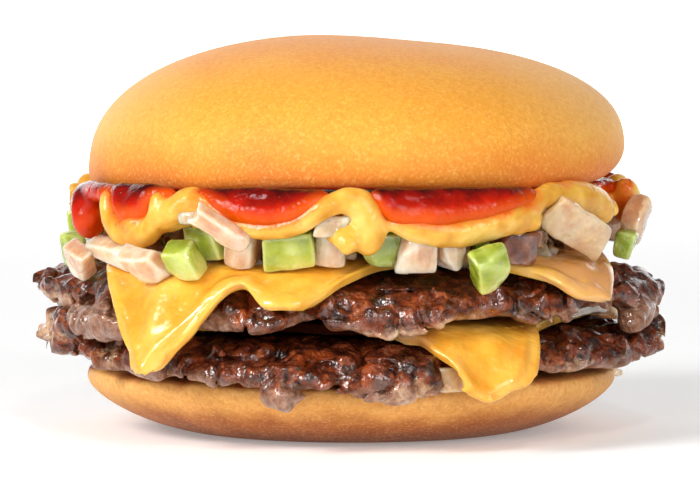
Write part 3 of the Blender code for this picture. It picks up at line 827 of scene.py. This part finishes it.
def back_strokes(seed):
    """Random strokes round the far side, in the manner of the front's."""
    chance = random.Random(seed)
    azimuth = 84.0
    while azimuth < 262:
        width, low = chance.uniform(9, 16), chance.uniform(0.1, 0.45)
        size = chance.uniform(1.8, 2.6)
        yield ((azimuth, 0.85, 1.8, -0.4), (azimuth + width * 0.3, low + 0.15, size, 0.3),
               (azimuth + width * 0.6, low, size, 0.5), (azimuth + width, 0.7, 1.8, -0.4))
        azimuth += width + chance.uniform(2, 12)


def lay_strokes(field, strokes):
    """Balls of sauce close together along each stroke."""
    radius = sauce_radius()
    bottom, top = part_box("mustard")[0].z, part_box("bun_top")[0].z
    for stroke in strokes:
        for start, end in zip(stroke, stroke[1:]):
            gap = math.radians(abs(end[0] - start[0])) * 57 + abs(end[1] - start[1]) * 11
            steps = max(int(gap / 0.5), 1)
            for step in range(steps + 1):
                azimuth, share, size, out = (a + (b - a) * step / steps for a, b in zip(start, end))
                size *= MM
                height = bottom + (top - bottom) * share + size * 0.5
                field.ball(spot(radius(azimuth) - size + out * MM, azimuth, height), size, 1.0 * MM)


def sauce_mesh(node, seed, half, strokes, grain):
    """The sheet of sauce with thick soft strokes along its hanging rim."""
    low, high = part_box(node)
    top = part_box("bun_top")[0].z + 4 * MM
    field = Field(low, (high.x, high.y, top), 0.5 * MM, 2.5 * MM)
    x, y, z = field.grid()
    disc = np.maximum(np.hypot(x, y) - 50 * MM, np.abs(z - (high.z - half)) - half)
    field.value = np.minimum(field.value, disc).astype(np.float32)
    for place, outward in rim_spots(node, 5200, 46 * MM, seed):
        if not -106 < azimuth_of(place.x, place.y) < -72:
            field.ball(place - outward * half, half, 0.5 * MM)
    lay_strokes(field, (*strokes, *back_strokes(seed)))
    field.value += (grain * field.noise(6 * MM, seed)).astype(np.float32)
    field.blur(3)
    return lightened(field.mesh(), SAUCE_MIDDLE, 0.2)


def nearness(mesh, other, reach):
    """1 where the mesh touches the other mesh, 0 from the reach on."""
    tree = surface_tree(other)
    points = coordinates(mesh)
    result = np.zeros(len(points))
    for index in np.nonzero(reaches(points) > SAUCE_MIDDLE)[0]:
        found = tree.find_nearest(Vector(points[index]), reach)
        if found[0] is not None:
            result[index] = 1 - found[3] / reach
    return result


def mustard_look():
    look = Look("mustard", Roughness=0.2, Specular_IOR_Level=0.35)
    cream = look.ramp(look.noise(5, 2), (0.3, 206, 142, 42), (0.5, 226, 170, 66), (0.7, 238, 198, 104))
    stain = look.level(look.blurred(look.stored("near"), 2.5, 3, 0.5, 0.3), 0.35, 1.1)
    look.give(Base_Color=look.mix(stain, cream, (218, 92, 12)))
    look.bumps((0.8, 3, 0.6, 0.2, 0.4), (2.6, 2, 0.5, 0.8, 0.5))
    look.soft(0.3, 0.0025, 0.0016, 0.0006)
    return look


def ketchup_look():
    look = Look("ketchup", Roughness=0.1, Specular_IOR_Level=0.22)
    hang = look.stored("hang")
    near = look.blurred(look.stored("near"), 5, 3, 0.6, 0.16)
    thin = look.level(look.math("SUBTRACT", near, hang), -0.3, 0.5)
    # Darker towards the top: painted shade under the crown's edge, near black at the very top.
    deep = look.ramp(
        look.blurred(hang, 5, 3, 0.6, 0.16), (0.15, 206, 52, 8), (0.5, 176, 26, 5), (0.75, 126, 12, 4),
        (0.95, 60, 6, 4))
    look.give(Base_Color=look.mix(thin, deep, (212, 80, 4)))
    look.bumps((0.7, 3, 0.6, 0.3, 0.4), (3.0, 2, 0.5, 1.0, 0.6))
    look.soft(0.25, 0.003, 0.0009, 0.0002)
    return look


def hanging(mesh, bins=180):
    """0 at the lowest edge of the hanging part at each azimuth, 1 at its top."""
    points = coordinates(mesh)
    outside = reaches(points) > 50 * MM
    azimuth = azimuths(points)
    place = (azimuth % 360 / 360 * bins).astype(int) % bins
    low = np.full(bins, points[:, 2].max())
    np.minimum.at(low, place[outside], points[outside, 2])
    low = sum(np.roll(low, shift) for shift in (-1, 0, 1)) / 3
    low = round_about(azimuth, low)
    return np.clip((points[:, 2] - low) / np.maximum(points[:, 2].max() - low, 1.5 * MM), 0, 1)


def make_sauces():
    mustard = sauce_mesh("mustard", 21, 1.2 * MM, MUSTARD_STROKES, 0.3 * MM)
    ketchup = sauce_mesh("ketchup", 34, 1.0 * MM, KETCHUP_STROKES, 0.2 * MM)
    store(mustard, "near", nearness(mustard, ketchup, 2.2 * MM))
    store(ketchup, "near", nearness(ketchup, mustard, 3.4 * MM))
    store(ketchup, "hang", hanging(ketchup))
    add_piece("mustard_sauce", mustard, mustard_look(), ["mustard"], "mustard")
    add_piece("ketchup_sauce", ketchup, ketchup_look(), ["ketchup"], "ketchup")


# ---- toppings


def random_bow(kind, chance):
    """How far a bit is bowed; an onion bit is a piece of its layers."""
    if kind == "onion":
        return chance.uniform(0.12, 0.3) * chance.choice((-1, 1))
    return chance.uniform(-0.08, 0.08)


def slanted(chance):
    """A random direction well away from each side's plane."""
    return Vector([chance.choice((-1, 1)) * chance.uniform(0.35, 1) for _ in range(3)]).normalized()


def bowed_box(size, bow, chance):
    """A box around the origin, tapered, slanted and bowed."""
    builder = bmesh.new()
    bmesh.ops.create_cube(builder, size=1)
    bmesh.ops.subdivide_edges(builder, edges=builder.edges, cuts=4, use_grid_fill=True)
    taper, slant = ([chance.uniform(-end, end) for _ in range(2)] for end in (0.2, 0.26))
    for vertex in builder.verts:
        x, y, z = vertex.co
        x = x * (1 + taper[0] * z) + slant[0] * z
        y = y * (1 + taper[1] * z) + bow * (4 * x * x - 0.5) * 0.5
        z += slant[1] * x
        vertex.co = Vector((x * size[0], y * size[1], z * size[2]))
    return builder


def knife_cut(size, kind, chance, cuts):
    """A soft-edged, bowed bit of vegetable round the origin, about the given size, with slanted cuts."""
    field = Field(-Vector(size) * 0.65, Vector(size) * 0.65, 0.3 * MM, 1.2 * MM)
    x, y, z = (side / length for side, length in zip(field.grid(), size))
    bow = random_bow(kind, chance)
    x = (x - chance.uniform(-0.24, 0.24) * z) / (1 + chance.uniform(-0.25, 0.25) * z)
    y = (y - bow * (2 * x * x - 0.25)) / (1 + chance.uniform(-0.25, 0.25) * z)
    z = z - chance.uniform(-0.2, 0.2) * x
    sides = [(np.abs(part) - 0.5) * length for part, length in zip((x, y, z), size)]
    for _ in range(cuts):
        direction = slanted(chance)
        reach = sum(abs(part) for part in direction) * 0.5 * chance.uniform(0.6, 0.82)
        share = x * direction.x + y * direction.y + z * direction.z - reach
        sides.append(share * min(size))
    soft = chance.uniform(0.2, 0.4) * MM
    total = sum(np.exp(np.clip(side / soft, -30, 30)) for side in sides)
    field.value = (soft * np.log(total)).astype(np.float32)
    field.value += 0.18 * MM * field.noise(2.2 * MM, chance.randrange(999))
    mesh = field.mesh()
    # Painted highlight: a value near the bit's edges, which the looks paint paler, as where light catches and
    # shines through.
    nearest = np.sort(np.stack(np.broadcast_arrays(*sides)), axis=0)
    edge = bell(nearest[-1] - nearest[-2], 0.55 * MM)
    place = np.round((coordinates(mesh) - field.low) / field.step).astype(int)
    store(mesh, "edge", edge[tuple(place.T)])
    return mesh


def chunk(size, kind, chance):
    """A plainer and lighter knife-cut bit, for the heap."""
    builder = bowed_box(size, random_bow(kind, chance), chance)
    for _ in range(2):
        direction = slanted(chance)
        reach = max(abs(v.co.dot(direction)) for v in builder.verts)
        cut = bmesh.ops.bisect_plane(
            builder, geom=(*builder.verts, *builder.edges, *builder.faces), plane_no=direction,
            plane_co=direction * reach * chance.uniform(0.62, 0.85), clear_outer=True)
        rim = [part for part in cut["geom_cut"] if isinstance(part, bmesh.types.BMEdge)]
        if rim:
            bmesh.ops.edgeloop_fill(builder, edges=rim)
    bmesh.ops.dissolve_limit(builder, angle_limit=math.radians(4), verts=builder.verts, edges=builder.edges)
    bmesh.ops.recalc_face_normals(builder, faces=builder.faces)
    bmesh.ops.bevel(builder, geom=folded_edges(builder, 28), offset=min(size) * chance.uniform(0.16, 0.3),
                    segments=1, profile=0.5, affect="EDGES", clamp_overlap=True)
    mesh = mesh_from(builder)
    mesh.shade_smooth()
    return modified(mesh, "WEIGHTED_NORMAL", weight=80)


def dice_frame(node):
    """The middle, half sizes and directions of a six-sided bit, from its largest faces."""
    builder = node_builder(node)
    faces = sorted(builder.faces, key=lambda face: -face.calc_area())
    first = faces[0].normal.copy()
    second = next(f.normal.copy() for f in faces if abs(f.normal.dot(first)) < 0.35)
    second = (second - first * second.dot(first)).normalized()
    corners = [v.co.copy() for v in builder.verts]
    builder.free()
    *level, up = sorted((first, second, first.cross(second)), key=lambda axis: abs(axis.z))
    up = up if up.z > 0 else -up
    middle = sum(corners, Vector()) / len(corners)
    outward = Vector((middle.x, middle.y, 0)).normalized()
    depth = max(level, key=lambda axis: abs(axis.dot(outward)))
    depth = depth if depth.dot(outward) < 0 else -depth
    wide = depth.cross(up)
    spans = [[corner.dot(axis) for corner in corners] for axis in (wide, depth, up)]
    size = [max(span) - min(span) for span in spans]
    axes = Matrix((wide, depth, up)).transposed()
    return axes @ Vector([(max(span) + min(span)) / 2 for span in spans]), size, axes


def mark_bit(mesh, size, tint):
    """Stores where each point is in its bit, from -1 to 1 along each side, and the bit's own tint."""
    points = coordinates(mesh)
    for axis, name in enumerate(("along", "across", "upward")):
        store(mesh, name, points[:, axis] / size[axis] * 2)
    store(mesh, "tint", np.full(len(points), tint))


def wet_skin(look):
    """The uneven, juicy surface of cut vegetables."""
    look.bumps((0.9, 3, 0.5, 0.2, 0.4), (2.2, 2, 0.5, 1.3, 0.6))
    look.bumps((2.6, 1, 0.5, 0.9, 0.6), socket="Coat_Normal")
    look.give(Coat_Weight=look.level(look.noise(2.8, 2), 0.42, 0.56, 0.2, 1.0))


def onion_look():
    look = Look("onion", Roughness=0.14, IOR=1.36, Coat_Roughness=0.05, Coat_IOR=1.8)
    tint = look.stored("tint")
    wander = look.math("MULTIPLY", look.noise(5, 2), 5.0)
    veins = look.math("SINE", look.math("ADD", look.math("MULTIPLY", look.stored("along"), 7.0), wander))
    flesh = look.ramp(look.noise(6, 2), (0.34, 196, 150, 116), (0.5, 218, 178, 144), (0.66, 236, 208, 180))
    flesh = look.mix(look.level(veins, 0.6, 1.0, 0, 0.22), flesh, (244, 226, 200))
    blush = look.math("ADD", look.math("MULTIPLY", look.stored("across"), 0.3), look.noise(5, 1))
    flesh = look.mix(look.level(blush, 0.45, 0.85, 0.0, 0.6), flesh, (216, 144, 118))
    # Painted highlight: paler along the bit's edges.
    flesh = look.mix(look.stored("edge"), flesh, (254, 240, 224), 0.4)
    stained = look.ramp(look.noise(2.5, 3), (0.3, 62, 20, 10), (0.5, 104, 46, 22), (0.75, 150, 92, 54))
    golden = look.ramp(look.noise(3.0, 2), (0.3, 178, 118, 56), (0.7, 218, 172, 110))
    stained = look.mix(look.level(tint, 0.6, 0.8), golden, stained)
    look.give(Base_Color=look.mix(tint, flesh, stained))
    look.soft(1.0, 0.008, 0.0058, 0.0042)
    wet_skin(look)
    return look


def pickle_look():
    look = Look("pickle", Roughness=0.16, IOR=1.36, Coat_Roughness=0.05, Coat_IOR=1.8)
    place = look.math("ADD", look.math("MULTIPLY", look.stored("upward"), -0.14), look.noise(6, 1))
    flesh = look.ramp(place, (0.3, 126, 140, 26), (0.5, 166, 176, 56), (0.7, 202, 208, 116))
    flesh = look.mix(look.stored("tint"), flesh, (104, 132, 36))
    # Painted highlight: paler along the bit's edges.
    flesh = look.mix(look.stored("edge"), flesh, (216, 224, 156), 0.4)
    skin = look.level(look.blurred(look.stored("across"), 2, 2, 0.5, 0.3), 0.6, 1.0)
    look.give(Base_Color=look.mix(skin, flesh, (84, 116, 24), 0.7))
    look.soft(1.0, 0.005, 0.006, 0.0022)
    wet_skin(look)
    return look


# How brown some bits are, how many slanted cuts they have, and how two differ from the plain solid: (stretch
# along each side, turn about the outward line and swing round the stack in degrees, lift and inset in mm).
STAINED = {"onion_09": 0.95, "onion_10": 0.59, "onion_11": 0.5}
CUTS = {"onion_07": 5, "onion_08": 4, "onion_10": 5, "onion_11": 4, "pickle_06": 3}
RESHAPED = {"onion_10": ((1.3, 0.5, 0.8), 26, -4.0, 2.6, 1.4), "onion_11": ((0.9, 0.9, 0.9), 8, 0, 0.4, 0)}
# Smaller bits stuck in the sauce or under the layers: (kind, azimuth, distance, height, size, lean, tint), in
# degrees and mm.
STUCK_BITS = (
    ("onion", -3.6, 55.4, 43.2, (5.6, 4.4, 4.4), 8, 0.3),
    ("onion", -31.9, 57.2, 44.2, (4.0, 2.6, 2.6), -12, 0.3),
    ("onion", 18.9, 55.6, 14.2, (7.6, 2.4, 4.6), 6, 0.59),
    ("onion", 64, 56.8, 13.0, (3.4, 2.0, 2.0), 10, 0.3),
    ("onion", 112, 55.0, 43.4, (4.8, 3.6, 3.8), 20, 0.1),
    ("pickle", 158, 55.6, 42.6, (4.4, 3.4, 4.0), -15, 0.1),
    ("onion", 203, 55.4, 43.8, (5.0, 3.4, 3.6), 10, 0.1))


def turned(degrees, axis):
    return Matrix.Rotation(math.radians(degrees), 4, axis)


def make_dice(looks):
    chance = random.Random(5)
    for node in sorted(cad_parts):
        kind = node.split("_")[0]
        if kind not in looks:
            continue
        centre, size, axes = dice_frame(node)
        stretch, turn, swing, lift, inset = RESHAPED.get(node, ((1, 1, 1), 0, 0, 0, 0))
        size = [length * 1.15 * share for length, share in zip(size, stretch)]
        mesh = knife_cut(size, kind, chance, CUTS.get(node, 2))
        mark_bit(mesh, size, STAINED.get(node, chance.uniform(0, 0.15 if kind == "onion" else 0.5)))
        centre += spot(-inset * MM, azimuth_of(centre.x, centre.y), lift * MM)
        place = Matrix.Translation(centre) @ axes.to_4x4()
        mesh.transform(turned(swing, "Z") @ place @ turned(turn, "Y"))
        add_piece(node + "_bit", mesh, looks[kind], [node], kind)


def make_stuck_bits(looks):
    chance = random.Random(41)
    for kind in looks:
        meshes = []
        for _, azimuth, distance, height, size, lean, tint in (row for row in STUCK_BITS if row[0] == kind):
            size = [length * MM for length in size]
            mesh = knife_cut(size, kind, chance, 2)
            mark_bit(mesh, size, tint)
            place = Matrix.Translation(spot(distance * MM, azimuth, height * MM))
            mesh.transform(place @ turned(azimuth, "Z") @ turned(lean, "Y"))
            meshes.append(mesh)
        add_piece("stuck_" + kind, joined(meshes), looks[kind], [], kind)


def joined(meshes):
    """Several meshes as one, with their attributes."""
    builder = bmesh.new()
    for mesh in meshes:
        builder.from_mesh(mesh)
        bpy.data.meshes.remove(mesh)
    return mesh_from(builder)


HEAP_BITS = 300
HEAP_OVERHANG = 8.5 * MM


def make_heap(looks):
    """The small bits between the upper slice and the sauces, over a smaller core."""
    low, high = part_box("topping_heap")
    radius = (high.x - low.x) / 2
    chance = random.Random(12)
    bits = {kind: [] for kind in looks}
    for _ in range(HEAP_BITS):
        kind = "onion" if chance.random() < 0.68 else "pickle"
        size = [chance.uniform(*ends) * MM for ends in ((2.0, 4.6), (1.6, 3.0), (1.8, 3.6))]
        bit = chunk(size, kind, chance)
        mark_bit(bit, size, chance.uniform(0.2, 0.75))
        distance = radius + chance.uniform(-5 * MM, HEAP_OVERHANG)
        outer = max(distance - radius, 0) / HEAP_OVERHANG
        height = chance.uniform(low.z - 0.3 * MM, high.z - 0.5 * MM) - 1.4 * MM * outer
        place = Matrix.Translation(spot(distance, chance.uniform(0, 360), height))
        bit.transform(place @ random_axes(chance).to_4x4())
        bits[kind].append(bit)
    for kind in looks:
        add_piece("small_" + kind, joined(bits[kind]), looks[kind], [], kind)
    core = subdivided("topping_heap", 2)
    points = coordinates(core)
    middle = np.array((low + high) / 2)
    points = (points - middle) * 0.96 + middle
    set_coordinates(core, points)
    push(core, noise_at(points, 3 * MM, 4) * 0.6 * MM)
    look = Look("heap_mix", Roughness=0.3)
    tint = colour(200, 160, 80)
    patches = look.level(look.noise(3, 3), 0.3, 0.7)
    look.give(Base_Color=look.mix(patches, tint, [part * 0.75 for part in tint]))
    add_piece("heap_core", core, look, ["topping_heap"], "topping")


# ---- studio


def make_card(name, corners, grey, glow):
    look = Look(name, Roughness=0.9, Base_Color=(grey, grey, grey), Emission_Color=(1, 1, 1),
                Emission_Strength=glow)
    mesh = bpy.data.meshes.new(name)
    mesh.from_pydata(corners, [], [(0, 1, 2, 3)])
    mesh.materials.append(look.material)
    card = placed(name, mesh)


# Square area lights: (place, size, watts); the small ones make glints on the wet parts.
LIGHTS = (((-0.6, -0.52, 0.5), 0.32, 6.8), ((0.42, -0.85, 0.38), 0.5, 3.7), ((0.12, -0.7, 0.7), 0.05, 0.8),
          ((-0.3, -0.95, 0.25), 0.05, 0.8), ((0.62, -0.6, 0.3), 0.05, 0.8), ((-0.75, -0.5, 0.2), 0.05, 0.8))
LIGHTS_AIM = Vector((0, 0, 35 * MM))


def make_studio():
    make_card("floor", [(-3, -3, 0), (3, -3, 0), (3, 3, 0), (-3, 3, 0)], 0.86, 0.24)
    make_card("backdrop", [(-0.8, 0.9, 0), (0.8, 0.9, 0), (0.8, 0.9, 0.75), (-0.8, 0.9, 0.75)], 0.9, 1.0)
    world = bpy.data.worlds.new("studio")
    world.use_nodes = True
    background = world.node_tree.nodes["Background"]
    background.inputs["Color"].default_value = (1, 1, 1, 1)
    background.inputs["Strength"].default_value = 0.2
    bpy.context.scene.world = world
    for place, size, watts in LIGHTS:
        data = bpy.data.lights.new("light", "AREA")
        data.energy, data.size = watts, size
        light = placed("light", data)
        light.location = place
        light.rotation_euler = (LIGHTS_AIM - Vector(place)).to_track_quat("-Z", "Y").to_euler()
    bpy.context.scene.view_settings.view_transform = "Standard"


def make_camera():
    distance, elevation, sensor = 1.2, math.radians(4), 36
    seen_width = 136.7 * MM
    data = bpy.data.cameras.new("camera")
    data.sensor_width = sensor
    data.lens = sensor * distance / seen_width
    camera = placed("camera", data)
    target = Vector((0, 0, 36.9 * MM))
    camera.location = target + distance * Vector((0, -math.cos(elevation), math.sin(elevation)))
    camera.rotation_euler = (math.radians(90) - elevation, 0, 0)
    bpy.context.scene.camera = camera


def main():
    make_bun()
    make_patties()
    make_cheeses()
    make_sauces()
    looks = {"onion": onion_look(), "pickle": pickle_look()}
    make_dice(looks)
    make_stuck_bits(looks)
    make_heap(looks)
    make_studio()
    make_camera()


main()
